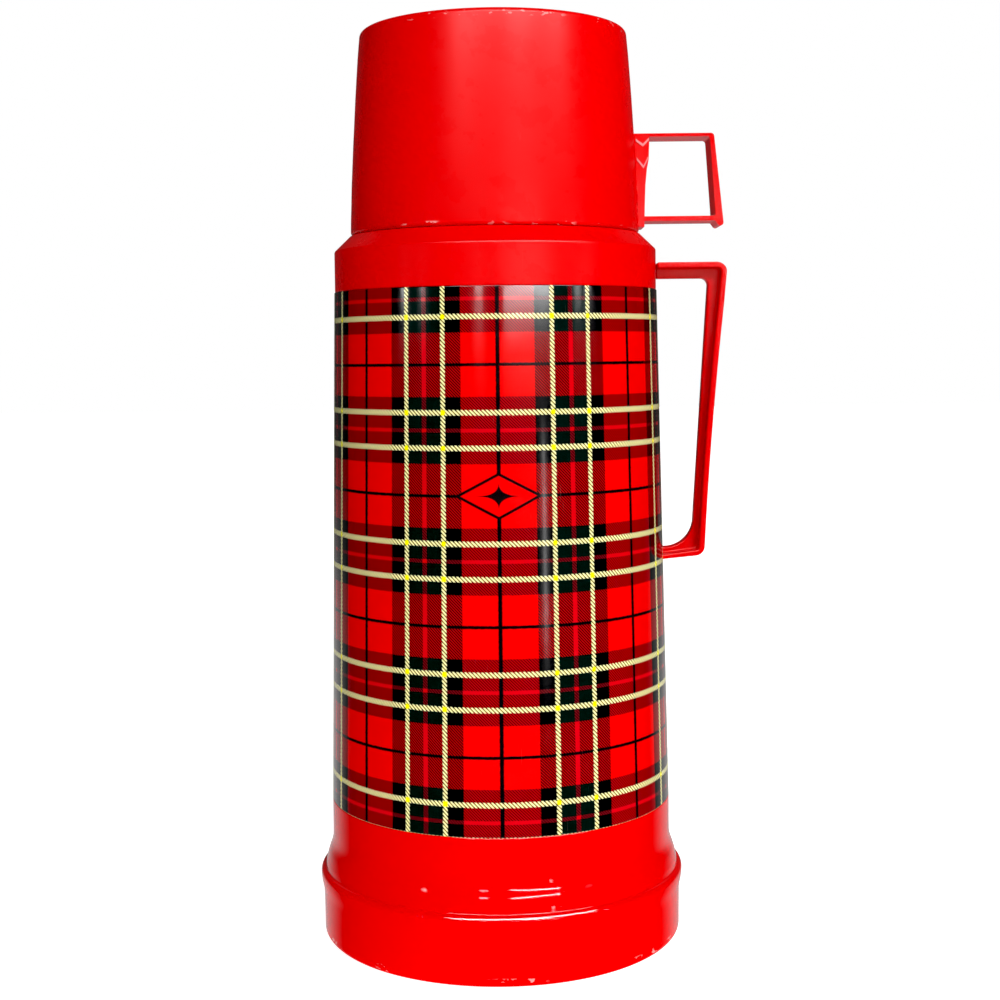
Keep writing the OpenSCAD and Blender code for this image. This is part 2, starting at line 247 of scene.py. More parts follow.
def moulded(name, colour, faded, scratch, roughness, scratches, edges=(), bump=0.00002,
            specular=0.35):
    """A moulded plastic or rubber, with its wear.

    Each worn ring edge is (height, reach, amount), with the first two in millimetres.
    """
    material, w, shader, place = new_material(name)
    marks = w.add("ShaderNodeGroup", node_tree=MARKS)
    w.fill(marks, {"Place": place, "Color": colour, "Faded Color": faded, "Scratch Color": scratch,
                   "Scratches": scratches, "Roughness": roughness})
    shade, rough = marks.outputs["Color"], marks.outputs["Roughness"]
    for height, reach, amount in edges:
        nicks = w.add("ShaderNodeGroup", node_tree=NICKS)
        w.fill(nicks, {"Place": place, "Edge Height": height * MM, "Reach": reach * MM,
                       "Amount": amount})
        shade = w.blend(nicks.outputs["Mask"], shade, NICK)
        rough = w.plus(rough, w.times(nicks.outputs["Mask"], 0.3))
    ripple = w.bump(marks.outputs["Height"], 0.6, bump)
    w.fill(shader, {"Base Color": shade, "Roughness": rough, "Normal": ripple,
                    "Specular IOR Level": specular})
    return material


RED = (0.82, 0.0, 0.001)
RED_FADED = (0.77, 0.0, 0.001)
RED_SCRATCH = (0.92, 0.14, 0.12)

FOOT_R, FOOT_H, LIP_R = 69.3, 25.8, 2.4
COLLAR_R, SLEEVE_Z = 64.5, 51.8
SPIGOT_R, SPIGOT_H = 63.2, 8
FLOOR_T, BASE_WALL = 3.2, 3.7
GROOVE_R = 53

base_red = moulded("base_red", RED, RED_FADED, RED_SCRATCH, 0.05, 0.25, edges=((2.4, 1.3, 0.4),))

# the underside, with one shallow ring in it, and the foot's rounded bottom edge
base_side = [(0, 0), (GROOVE_R - 3.4, 0), (GROOVE_R - 2.8, 0.5), (GROOVE_R - 2.4, 0.8),
             (GROOVE_R + 2.4, 0.8), (GROOVE_R + 2.8, 0.5), (GROOVE_R + 3.4, 0), (FOOT_R - 3.6, 0)]
base_side += bow(FOOT_R - 3.6, 2.4, 2.4, -80, -5, 8)
# the foot's side swells a little towards its rounded lip
base_side += [(FOOT_R - 1.15, 8.5), (FOOT_R - 1.05, FOOT_H - 9.6), (FOOT_R - 0.7, FOOT_H - 7.2),
              (FOOT_R - 0.32, FOOT_H - 5.4), (FOOT_R - 0.09, FOOT_H - 3.9)]
base_side += bow(FOOT_R - LIP_R, FOOT_H - LIP_R, LIP_R, 0, 74, 12)
# the flare is nearly upright above the lip, leans in half way up, and meets the collar upright
flare = [(2.93, 0.06), (2.87, 0.35), (2.82, 0.8), (2.75, 1.3), (2.64, 1.9), (2.47, 2.6),
         (2.25, 3.4), (2.0, 4.3), (1.70, 5.3), (1.40, 6.2), (1.10, 7.0), (0.83, 7.8),
         (0.58, 8.6), (0.37, 9.4), (0.21, 10.2), (0.09, 11.1), (0.02, 12.2)]
base_side += [(COLLAR_R + out, FOOT_H + up) for out, up in flare]
# the collar, the spigot inside the sleeve, and the hollow's wall down to the floor
base_side += [(COLLAR_R, FOOT_H + 14), (COLLAR_R, SLEEVE_Z - 0.35), (COLLAR_R - 0.35, SLEEVE_Z),
              (SPIGOT_R, SLEEVE_Z), (SPIGOT_R, SLEEVE_Z + SPIGOT_H - 0.4),
              (SPIGOT_R - 0.4, SLEEVE_Z + SPIGOT_H), (61.5, SLEEVE_Z + SPIGOT_H),
              (61.2, SLEEVE_Z + SPIGOT_H - 0.4), (60.9, SLEEVE_Z), (61.9, FOOT_H),
              (FOOT_R - BASE_WALL, FOOT_H - 6), (FOOT_R - BASE_WALL, 5.2), (64.2, FLOOR_T),
              (0, FLOOR_T)]
make_piece(turned(base_side, 256), "base_moulding", base_red, "flask", "base_cup")

# ---------------------------------------------------------------- cushion, tip cap and centring rings
# The glass stands on a moulded rubber seat, with a small rubber cap over the
# seal-off tip, and two foam rings keep it central in the sleeve.

rubber = moulded("grey_rubber", (0.035, 0.035, 0.038), (0.055, 0.054, 0.052), (0.10, 0.10, 0.10),
                 0.55, 0.5, bump=0.00008, specular=0.3)
foam = moulded("pale_foam", (0.60, 0.54, 0.42), (0.48, 0.42, 0.31), (0.7, 0.66, 0.55),
               0.85, 0.1, bump=0.0006, specular=0.15)


def finish_node(node, material):
    """Gives a carried-over CAD node its finished material."""
    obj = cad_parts[node]
    obj.data.materials.clear()
    obj.data.materials.append(material)


for node in ("base_cushion", "tip_cap"):
    finish_node(node, rubber)
for node in ("lower_ring", "upper_ring"):
    finish_node(node, foam)

# ---------------------------------------------------------------- glass bottle
# Two blown glass walls joined at the lip, silvered on the vacuum side, with three
# small pads between them. Seen down the neck, the silvering looks like a mirror.


def silvered_glass():
    material, w, shader, place = new_material("silvered_glass")
    cloud = w.noise(place, 30, 3.0, 0.6)
    smear = w.noise(place, 120, 3.0, 0.6)
    wave = w.noise(place, 45, 1.0, 0.4)
    w.fill(shader, {"Base Color": w.blend(cloud, (0.86, 0.87, 0.88), (0.70, 0.72, 0.74)),
                    "Roughness": w.plus(w.times(smear, 0.10), 0.02),
                    "Normal": w.bump(wave, 0.35, 0.0003),
                    "Metallic": 1.0, "Coat Weight": 0.6, "Coat Roughness": 0.02})
    return material


silver = silvered_glass()
for node in ("outer_glass", "inner_glass"):
    finish_node(node, silver)
finish_node("glass_pads", foam)

# ---------------------------------------------------------------- sleeve
# A thin tapering tube round the glass, printed with a woven tartan and varnished.
# The sheet is rolled and joined at the back, where the checks do not meet.

SLEEVE_LOW_R, SLEEVE_TOP_R, SHOULDER_Z, SHEET_T = 64.5, 60.95, 243.2, 1.0

# The check repeats round the sleeve, in degrees, and up it, in millimetres, from a thin black
# line. A dark band lies half way between two black lines, with a thin red line down its middle
# and a yellow line on each side. The pairs below give degrees round, then millimetres up.
ROUND_REPEAT, ROUND_START = 49.15, 0.53
UP_REPEAT, UP_START = 45.41, 170.68
BAND_HALF = (12.55, 11.6)
YELLOW_AT = (6.57, 6.14)
YELLOW_HALF = (0.78, 0.96)
YELLOW_CORE = (0.42, 0.55)
RED_LINE_HALF = (0.78, 0.66)
BLACK_LINE_HALF = (0.66, 0.55)
GREEN_HALF = 6.0
PRINT_EDGE = 0.14


def tartan_group():
    """The printed check: red ground, dark bands, thin red and black lines, and yellow cords."""
    tree, w, i, o = new_group("tartan_check", [("Place", "place", None)],
                              [("Color", "colour"), ("Yarn", "number"), ("Seam", "number")])
    place = i["Place"]
    split = w.add("ShaderNodeSeparateXYZ")
    w.put(place, split.inputs[0])
    x, y, z = split.outputs
    turn = w.calc("ARCTAN2", x, w.times(y, -1.0))
    radius = w.calc("SQRT", w.plus(w.times(x, x), w.times(y, y)))
    across_mm = w.times(w.times(turn, 1 / MM), radius)
    up_mm = w.times(z, 1 / MM)
    degrees = w.times(turn, math.degrees(1))
    ragged = w.times(w.minus(w.noise(place, 900, 1.0, 0.5), 0.5), 0.30)

    def from_line(value, start, repeat):
        return w.size(w.calc("WRAP", w.minus(value, start), repeat / 2, -repeat / 2))

    black = (w.plus(from_line(degrees, ROUND_START, ROUND_REPEAT), ragged),
             w.plus(from_line(up_mm, UP_START, UP_REPEAT), ragged))
    band = (w.minus(ROUND_REPEAT / 2, black[0]), w.minus(UP_REPEAT / 2, black[1]))
    yellow = [w.size(w.minus(off, at)) for off, at in zip(band, YELLOW_AT)]

    def stripes(offs, halves):
        """The masks of the upright and the level stripes, each this far either side of its line."""
        return [w.under(off, half, PRINT_EDGE) for off, half in zip(offs, halves)]

    r_band, u_band = stripes(band, BAND_HALF)
    r_yellow, u_yellow = stripes(yellow, YELLOW_HALF)
    r_core, u_core = stripes(yellow, YELLOW_CORE)
    r_thin, u_thin = stripes(band, RED_LINE_HALF)
    r_black, u_black = stripes(black, BLACK_LINE_HALF)
    inner = w.under(band[0], GREEN_HALF, PRINT_EDGE)

    # slanting weave lines run down to the right
    slant = w.plus(across_mm, up_mm)

    def slants(pitch, share):
        return w.under(w.size(w.minus(w.calc("FRACT", w.over(slant, pitch)), 0.5)), share, 0.09)

    weave, cord = slants(1.06, 0.25), slants(1.46, 0.22)
    patchy = w.noise(place, 160, 3.0, 0.6)
    ground = w.blend(patchy, (0.88, 0.0, 0.0), (0.80, 0.0, 0.0))
    half_red = w.blend(patchy, (0.50, 0.003, 0.006), (0.40, 0.0, 0.003))
    half_dark = w.blend(r_band, (0.09, 0.0, 0.001), (0.008, 0.003, 0.001))
    half = w.blend(weave, half_red, half_dark)
    green = w.blend(patchy, (0.0, 0.011, 0.008), (0.0, 0.004, 0.003))
    dark = w.blend(inner, (0.001, 0.001, 0.0015), green)
    crossed = w.times(r_band, u_band)
    colour = w.blend(crossed, w.blend(w.most(r_band, u_band), ground, half), dark)
    # thin red lines: clear on the half-dark bands, broken up by the weave on the dark squares
    broken = w.blend(weave, (0.17, 0.006, 0.010), (0.035, 0.002, 0.003))
    on_dark = w.blend(w.times(r_thin, u_thin), broken, (0.60, 0.0, 0.004))
    thin = w.most(w.times(r_thin, r_band), w.times(u_thin, u_band))
    colour = w.blend(thin, colour, w.blend(crossed, (0.66, 0.0, 0.006), on_dark))
    colour = w.blend(w.most(r_black, u_black), colour, (0.004, 0.003, 0.004))
    # a plain lozenge of thin lines with a four-pointed star in it, where two lines cross in front
    dx = w.size(w.minus(across_mm, 0.5))
    dz = w.size(w.minus(up_mm, UP_START))
    front = w.under(w.size(degrees), 40.0, 1.0)
    lozenge = w.plus(w.over(dx, 15.5), w.over(dz, 8.2))
    rim = w.under(w.size(w.minus(lozenge, 0.93)), 0.065, 0.012)
    clear = w.times(front, w.under(lozenge, 0.93, 0.012))
    points = w.plus(w.calc("SQRT", w.over(dx, 8.0)), w.calc("SQRT", w.over(dz, 4.6)))
    star = w.under(points, 1.0, 0.04)
    colour = w.blend(clear, colour, ground)
    colour = w.blend(w.times(front, w.most(rim, star)), colour, (0.006, 0.004, 0.005))
    corded = w.blend(cord, (1.0, 0.97, 0.48), (0.26, 0.20, 0.02))
    cord_colour = w.blend(w.times(r_yellow, u_yellow), corded, (1.0, 0.95, 0.0))
    # the dark gaps between the cords bite into the line's two sides
    bitten = w.times(w.most(r_yellow, u_yellow), w.minus(1.0, cord))
    ropes = w.most(w.most(r_core, u_core), bitten)
    yellow_lines = w.times(ropes, w.minus(1.0, clear))
    w.put(w.blend(yellow_lines, colour, cord_colour), o["Color"])
    w.put(w.times(yellow_lines, cord), o["Yarn"])
    # the lapped joint at the back
    w.put(w.under(w.minus(180.0, w.size(degrees)), 0.30, 0.12), o["Seam"])
    return tree


def printed_sheet():
    material, w, shader, place = new_material("printed_tartan")
    check = w.add("ShaderNodeGroup", node_tree=tartan_group())
    w.put(place, check.inputs["Place"])
    marks = w.add("ShaderNodeGroup", node_tree=MARKS)
    print_colour, seam = check.outputs["Color"], check.outputs["Seam"]
    w.fill(marks, {"Place": place, "Color": print_colour, "Faded Color": print_colour,
                   "Scratch Color": (0.6, 0.25, 0.22), "Scratches": 0.15, "Roughness": 0.13})
    relief = w.minus(w.plus(marks.outputs["Height"], w.times(check.outputs["Yarn"], 0.4)),
                     w.times(seam, 6.0))
    shade = w.blend(w.times(seam, 0.7), marks.outputs["Color"], (0.02, 0.01, 0.01))
    w.fill(shader, {"Base Color": shade,
                    "Roughness": marks.outputs["Roughness"], "Normal": w.bump(relief, 0.5, 0.00003),
                    "Specular IOR Level": 0.35, "Coat Weight": 0.06, "Coat Roughness": 0.05})
    return material


def soften(bm, width, sharper_than=25, segments=3):
    """Rounds every edge sharper than the angle, as a mould does."""
    edges = [e for e in bm.edges if len(e.link_faces) == 2
             and math.degrees(e.calc_face_angle(0)) > sharper_than]
    bmesh.ops.bevel(bm, geom=edges, offset=width * MM, offset_type="OFFSET", segments=segments,
                    profile=0.5, affect="EDGES", clamp_overlap=True, material=-1)


sleeve = turned([(SLEEVE_LOW_R - SHEET_T, SLEEVE_Z), (SLEEVE_LOW_R, SLEEVE_Z),
                 (SLEEVE_TOP_R, SHOULDER_Z), (SLEEVE_TOP_R - SHEET_T, SHOULDER_Z)], 256, closed=True)
soften(sleeve, 0.25, segments=2)
make_piece(sleeve, "tartan_sheet", printed_sheet(), "flask", "tartan_sleeve")

# ---------------------------------------------------------------- mouth gasket, shoulder and pouring ring
# The red shoulder plugs into the sleeve and carries the cup's coarse thread on its neck.
# A pale pouring ring with the stopper's thread is pressed in, on a rubber gasket over the glass lip.

finish_node("mouth_gasket", rubber)

RIM_Z, NECK_R, NECK_Z = 264.3, 49.4, 281.5
CUP_LEAD, STOPPER_LEAD = 15, 8
SHARP = 25


def add_thread(bm, wall, crest, lead, z0, start, turn, foot, tip, steps):
    """A coarse thread ridge, swept up and round the axis from a height and an angle.

    Its section is foot high at the wall and tip high at the crest, and it runs out at both ends.
    """
    root = wall - 0.5 if crest > wall else wall + 0.5
    a = math.radians(start)
    section = [(root, -foot / 2), (root, foot / 2), (crest, tip / 2), (crest, -tip / 2)]
    corners = [bm.verts.new((r * MM * math.cos(a), r * MM * math.sin(a), (z0 + h) * MM))
               for r, h in section]
    face = bm.faces.new(corners)
    before = set(bm.faces)
    made = bmesh.ops.spin(bm, geom=[face] + list(face.edges) + corners, cent=(0, 0, 0),
                          axis=(0, 0, 1), dvec=(0, 0, lead * turn / 360 / steps * MM),
                          angle=math.radians(turn), steps=steps, use_merge=False)
    last = [v for v in made["geom_last"] if isinstance(v, bmesh.types.BMVert)]
    for v in corners + last:
        r = math.hypot(v.co.x, v.co.y) / MM
        if abs(r - crest) < 0.1:
            k = (wall + (crest - wall) * 0.1) / r
            v.co.x, v.co.y = v.co.x * k, v.co.y * k
    faces = [face] + [f for f in bm.faces if f not in before]
    bmesh.ops.recalc_face_normals(bm, faces=faces)
    edges = dict.fromkeys(e for f in faces for e in f.edges if len(e.link_faces) == 2)
    crest_edges = [e for e in edges if math.degrees(e.calc_face_angle(0)) > SHARP
                   and all(abs(math.hypot(v.co.x, v.co.y) / MM - crest) < 0.6 for v in e.verts)]
    bmesh.ops.bevel(bm, geom=crest_edges, offset=0.3 * MM, offset_type="OFFSET", segments=2,
                    profile=0.5, affect="EDGES", clamp_overlap=True, material=-1)


shoulder_red = moulded("shoulder_red", RED, RED_FADED, RED_SCRATCH, 0.28, 0.25,
                       edges=((NECK_Z - 1.0, 0.7, 0.5),), specular=0.07)
PLUG_R, PLUG_Z = 59.6, SHOULDER_Z - 10
SHOULDER_R = SLEEVE_TOP_R - 0.25
MOUTH_R = 30.8
NECK_WALL, SHOULDER_WALL = 2.4, 2.2
shoulder_side = [(PLUG_R, PLUG_Z), (PLUG_R, SHOULDER_Z), (SHOULDER_R, SHOULDER_Z),
                 (SHOULDER_R, RIM_Z - 5.9), (54.6, RIM_Z), (NECK_R, RIM_Z), (NECK_R, NECK_Z - 1.2),
                 (NECK_R - 1.2, NECK_Z), (MOUTH_R, NECK_Z)]
shoulder_inside = [(MOUTH_R, NECK_Z - 2.5), (NECK_R - NECK_WALL, NECK_Z - 2.5),
                   (NECK_R - NECK_WALL, RIM_Z - SHOULDER_WALL), (52.2, RIM_Z - SHOULDER_WALL),
                   (57.3, RIM_Z - 7), (57.3, PLUG_Z)]
shoulder = turned(shoulder_side + shoulder_inside, 256, closed=True)
soften(shoulder, 0.45)
for start in range(3):
    add_thread(shoulder, NECK_R, NECK_R + 1.5, CUP_LEAD, 267.5, 120 * start, 200, 1.8, 1.0, 50)
make_piece(shoulder, "shoulder_moulding", shoulder_red, "flask", "shoulder")

pale_plastic = moulded("pale_plastic", (0.82, 0.77, 0.66), (0.74, 0.66, 0.50), (0.55, 0.47, 0.36),
                       0.28, 0.3, specular=0.45)
GASKET_TOP, LEDGE_Z = 264.5, 268.0
LEDGE_R, BORE_R, RING_R = 20.6, 24, 30.6
ring = turned([(LEDGE_R, GASKET_TOP), (RING_R, GASKET_TOP), (RING_R, NECK_Z), (34, NECK_Z),
               (34, NECK_Z + 1.6), (33, NECK_Z + 2.4), (27.6, NECK_Z + 2.6), (27.2, NECK_Z + 5),
               (26.4, NECK_Z + 5.6), (BORE_R, NECK_Z + 5.6), (BORE_R, LEDGE_Z),
               (LEDGE_R, LEDGE_Z)], 160, closed=True)
soften(ring, 0.35)
# the ring's two ridges climb half way between the stopper's, so their helix has its own height
# on the handle's side, and they start part of a turn round from there
RING_THREAD_Z, RING_HELIX_Z = 272.5, 276
ring_phase = (RING_THREAD_Z - RING_HELIX_Z) / STOPPER_LEAD * 360
for start in range(2):
    add_thread(ring, BORE_R, BORE_R - 1.3, STOPPER_LEAD, RING_THREAD_Z, 180 * start + ring_phase,
               300, 1.5, 0.8, 60)
make_piece(ring, "pouring_ring_moulding", pale_plastic, "flask", "pouring_ring")

# ---------------------------------------------------------------- body handle and its fixings
# One red moulding: a wide outer band with a narrow rib inside it, which spreads into a rounded
# web below. A tenon goes into the shoulder, a boss through the sleeve, each with a screw.

HANDLE_X, HANDLE_W, RIB_W, BAND = 86.95, 18.0, 5.6, 2.1
ARM_TOP = SHOULDER_Z + 10.15
LOW_Z, STRAP_H, LOW_ARM_Z = 146.5, 101.6, 143.4


def strap_out(z):
    """How far out the upright strap's outer face is at a height: it leans and curves a little."""
    t = (z - LOW_Z) / STRAP_H
    return HANDLE_X - 8.8 + 5.6 * t + 3.2 * t * t


def strap_in(z):
    """How far out the rib's inner face is at a height, on the finger side."""
    return HANDLE_X - 12.35 + 5.8 * (z - LOW_Z - 10) / 87


def slab(outline, y0, y1):
    """A flat outline of (x, z) points, in millimetres, pulled out from y0 to y1."""
    bm = bmesh.new()
    face = bm.faces.new([bm.verts.new((x * MM, y0 * MM, z * MM)) for x, z in outline])
    out = bmesh.ops.extrude_face_region(bm, geom=[face])["geom"]
    far_side = [v for v in out if isinstance(v, bmesh.types.BMVert)]
    bmesh.ops.translate(bm, verts=far_side, vec=(0, (y1 - y0) * MM, 0))
    bmesh.ops.recalc_face_normals(bm, faces=bm.faces)
    return bm


def loose(bm, name):
    """An object with this mesh and nothing else, for cutting with or for the studio floor."""
    mesh = bpy.data.meshes.new(name)
    bm.to_mesh(mesh)
    bm.free()
    obj = bpy.data.objects.new(name, mesh)
    bpy.context.scene.collection.objects.link(obj)
    return obj


def carve(bm, jobs):
    """Cuts or joins other solids with this one, and gives back the result."""
    whole = loose(bm, "whole")
    tools = []
    for how, tool in jobs:
        tools.append(loose(tool, "tool"))
        step = whole.modifiers.new("step", "BOOLEAN")
        step.operation, step.solver, step.object = how, "EXACT", tools[-1]
    bpy.context.view_layer.update()
    finished = whole.evaluated_get(bpy.context.evaluated_depsgraph_get())
    done = bpy.data.meshes.new_from_object(finished)
    result = bmesh.new()
    result.from_mesh(done)
    for obj in [whole] + tools:
        bpy.data.meshes.remove(obj.data)
    bpy.data.meshes.remove(done)
    bmesh.ops.remove_doubles(result, verts=result.verts, dist=1e-6)
    bmesh.ops.dissolve_limit(result, angle_limit=math.radians(0.02), verts=result.verts,
                             edges=result.edges)
    bmesh.ops.recalc_face_normals(result, faces=result.faces)
    return result


def round_edges(obj, width):
    """A live bevel on the sharp edges, ahead of the even shading."""
    edge = obj.modifiers.new("rounded_edges", "BEVEL")
    edge.width, edge.segments = width * MM, 3
    edge.limit_method, edge.angle_limit = "ANGLE", math.radians(35)
    edge.use_clamp_overlap, edge.harden_normals = True, False
    while obj.modifiers[0] != edge:
        obj.modifiers.move(obj.modifiers.find(edge.name), 0)


heights = [LOW_Z + STRAP_H * i / 10 for i in range(11)]
ROOT = 60.9
OUT_CORNER, LOW_CORNER, IN_CORNER = 3.8, 3.6, 2.6


def handle_back(inset):
    """The handle's outer line, from the shoulder round to the sleeve, moved in by the inset."""
    return ([(ROOT, ARM_TOP - inset)]
            + bow(HANDLE_X - OUT_CORNER, ARM_TOP - OUT_CORNER, OUT_CORNER - inset, 90, 8, 8)
            + [(strap_out(z) - inset, z) for z in heights[9:0:-1]]
            + bow(strap_out(LOW_Z) - LOW_CORNER, LOW_Z - 0.2, LOW_CORNER - inset, 0, -85, 8)
            + [(ROOT, LOW_ARM_Z - 2 + inset * 0.75)])


inner_corner = ARM_TOP - 8.45
rib_face = (handle_back(0.3) + [(ROOT, LOW_ARM_Z + 2)]
            + bow(HANDLE_X - 23.15, LOW_Z + 10, 10.8, -90, 0, 12, 11.1)
            + [(strap_in(z), z) for z in heights[2:9]]
            + bow(strap_in(inner_corner) - IN_CORNER, inner_corner, IN_CORNER, 0, 90, 6)
            + [(ROOT, ARM_TOP - 5.85)])
band_face = handle_back(0) + handle_back(BAND)[::-1]
handle_red = moulded("handle_red", (0.76, 0.0, 0.001), (0.68, 0.0, 0.001), RED_SCRATCH, 0.22, 0.2,
                     bump=0.00003, specular=0.10)
handle = carve(slab(band_face, -HANDLE_W / 2, HANDLE_W / 2),
               [("UNION", slab(rib_face, -RIB_W / 2, RIB_W / 2))])
handle = make_piece(handle, "body_handle_moulding", handle_red, "flask", "body_handle")
round_edges(handle, 0.55)


def zinc_steel():
    material, w, shader, place = new_material("zinc_steel")
    spangle = w.noise(place, 300, 2.0, 0.6)
    w.fill(shader, {"Base Color": w.blend(spangle, (0.62, 0.63, 0.65), (0.46, 0.47, 0.50)),
                    "Roughness": w.plus(w.times(spangle, 0.3), 0.2), "Metallic": 1.0})
    return material


steel = zinc_steel()
for node in ("handle_screws", "handle_plate"):
    finish_node(node, steel)

# ---------------------------------------------------------------- stopper
# A hollow red screw plug packed with foam, with a fluted grip, a domed lid pressed into
# the grip, and a rubber ring round its nose that seals on the pouring ring's ledge.

finish_node("stopper_seal", rubber)
finish_node("stopper_core", foam)

KNOB_Z, GRIP_R, GRIP_H, PLUG_SCREW_R = 287.5, 29.0, 8, 22
SEAT_Z, NOSE_Z, SEAL_H = 268.1, 257.6, 2.15
HOLLOW_R, HOLLOW_Z = 16, NOSE_Z + 2.2
FLUTES, FLUTE_HALF, FLUTE_DEEP = 16, 4.2, 1.15
LID_Z = KNOB_Z + GRIP_H
stopper_red = moulded("stopper_red", RED, RED_FADED, RED_SCRATCH, 0.2, 0.5,
                      edges=((KNOB_Z + 7.0, 0.7, 0.5),))


def fluted_grip():
    """The stopper's hollow plug with its nose, seal groove and threads, and the fluted grip."""
    plug = [(0, NOSE_Z), (18.5, NOSE_Z), (19.8, NOSE_Z + 1.2), (20.1, NOSE_Z + 2.5),
            (20.1, SEAT_Z - 0.2), (18, SEAT_Z - 0.2), (18, SEAT_Z + SEAL_H),
            (PLUG_SCREW_R, SEAT_Z + SEAL_H), (PLUG_SCREW_R, KNOB_Z), (GRIP_R - 1.3, KNOB_Z),
            (GRIP_R, KNOB_Z + 1.2), (GRIP_R, LID_Z - 0.5), (GRIP_R - 0.5, LID_Z),
            (HOLLOW_R, LID_Z), (HOLLOW_R, HOLLOW_Z), (0, HOLLOW_Z)]
    bm = turned(plug, FLUTES * 20)
    for v in bm.verts:
        r = math.hypot(v.co.x, v.co.y) / MM
        if r > GRIP_R - 1.6:
            around = math.degrees(math.atan2(v.co.y, v.co.x)) % (360 / FLUTES)
            off = min(around, 360 / FLUTES - around) / FLUTE_HALF
            dip = FLUTE_DEEP * max(0.0, 1 - off * off)
            k = (r - dip) / r
            v.co.x, v.co.y = v.co.x * k, v.co.y * k
    for start in range(2):
        add_thread(bm, PLUG_SCREW_R, 23.5, STOPPER_LEAD, 274, 180 * start, 270, 1.5, 0.8, 54)
    return bm


make_piece(fluted_grip(), "stopper_moulding", stopper_red, "stopper", "stopper_body")
LID_PLUG_R = HOLLOW_R - 0.2
lid = turned([(0, LID_Z - 6), (LID_PLUG_R, LID_Z - 6), (LID_PLUG_R, LID_Z), (GRIP_R - 3.2, LID_Z)]
             + bow(GRIP_R - 6.2, LID_Z + 2.6, 3, 0, 80, 6) + [(12, LID_Z + 6.3), (0, LID_Z + 6.5)], 192)
soften(lid, 0.3, 40)
make_piece(lid, "stopper_lid", stopper_red, "stopper", "stopper_cap")

# ---------------------------------------------------------------- cup and its ring
# The drinking cup is a red moulding worn upside down: a slightly bulging wall, a flat closed
# end with a small round edge, a thread inside the rim, and a rail on one side for the handle.

finish_node("cup_seal", rubber)
CUP_Z, CUP_TOP_R, CUP_RIM_R = 340.0, 50.2, 54.4
cup_red = moulded("cup_red", RED, RED_FADED, RED_SCRATCH, 0.28, 0.25,
                  edges=((RIM_Z + 0.8, 1.3, 1.0), (CUP_Z - 1.8, 1.3, 0.3)), specular=0.07)


def bulge(part, z):
    """A point of the cup's side at a height: part is how much of the widening is behind it."""
    return CUP_TOP_R + (CUP_RIM_R - CUP_TOP_R) * part, z


cup_outline = [(0, CUP_Z), (CUP_TOP_R - 4, CUP_Z)]
cup_outline += bow(CUP_TOP_R - 1.9, CUP_Z - 1.9, 1.9, 90, 4, 7)
cup_outline += [bulge(0.16, CUP_Z - 9), bulge(0.30, CUP_Z - 17), bulge(0.44, CUP_Z - 25.5),
                bulge(0.56, CUP_Z - 34), bulge(0.68, CUP_Z - 42), bulge(0.78, CUP_Z - 50),
                bulge(0.87, CUP_Z - 57), bulge(0.93, RIM_Z + 11), bulge(0.98, RIM_Z + 6),
                bulge(1, RIM_Z + 2.4)]
cup_outline += bow(CUP_RIM_R - 1.3, RIM_Z + 1.5, 1.3, 0, -85, 6)
# inside: the threaded skirt, the tapering wall, and the closed end's round corner
SKIRT_R = 51.5
cup_outline += [(SKIRT_R + 0.4, RIM_Z + 0.12), (SKIRT_R, RIM_Z + 0.5), (SKIRT_R, NECK_Z + 3.05),
                (47.4, CUP_Z - 8)]
cup_outline += bow(43.4, CUP_Z - 6.6, 4.0, 0, 90, 6) + [(0, CUP_Z - 2.6)]
cup = turned(cup_outline, 256)
# the cup's three ridges climb half way between the neck's, as the pouring ring's do
CUP_THREAD_Z, CUP_HELIX_Z = 266.8, 270
cup_phase = (CUP_THREAD_Z - CUP_HELIX_Z) / CUP_LEAD * 360
for start in range(3):
    add_thread(cup, SKIRT_R, 50.0, CUP_LEAD, CUP_THREAD_Z, 120 * start + cup_phase, 200,
               1.8, 1.0, 50)
make_piece(cup, "cup_moulding", cup_red, "cup", "cup")

# ---------------------------------------------------------------- cup handle
# A separate red moulding slid on to the cup's rail: a wedge that lies against the
# cup, with two raised Vs on its sides, and a thin square loop.

CUP_ARM_Z, CUP_LOW_Z, CUP_HANDLE_W = CUP_Z - 38.6, RIM_Z + 4.5, 15.0
cup_half = CUP_HANDLE_W / 2
loop_face = ([(56, CUP_LOW_Z), (82.6, CUP_LOW_Z)] + bow(84.6, CUP_LOW_Z - 0.7, 1.2, -140, 5, 8)
             + bow(81.15, CUP_ARM_Z - 1.3, 1.3, 5, 90, 6) + [(56, CUP_ARM_Z)])
loop_gap = ([(40, CUP_LOW_Z + 1.8)] + bow(82, CUP_LOW_Z + 2.6, 0.8, -90, 4, 5)
            + bow(79.7, CUP_ARM_Z - 2.4, 1.2, 4, 90, 5) + [(40, CUP_ARM_Z - 1.2)])


def cup_wall_at(z):
    """Outer radius of the cup's wall at a height, between the points of its outline."""
    for (r0, z0), (r1, z1) in zip(cup_outline, cup_outline[1:]):
        if z1 <= z <= z0:
            return r0 + (r1 - r0) * (z0 - z) / (z0 - z1)
    return CUP_RIM_R


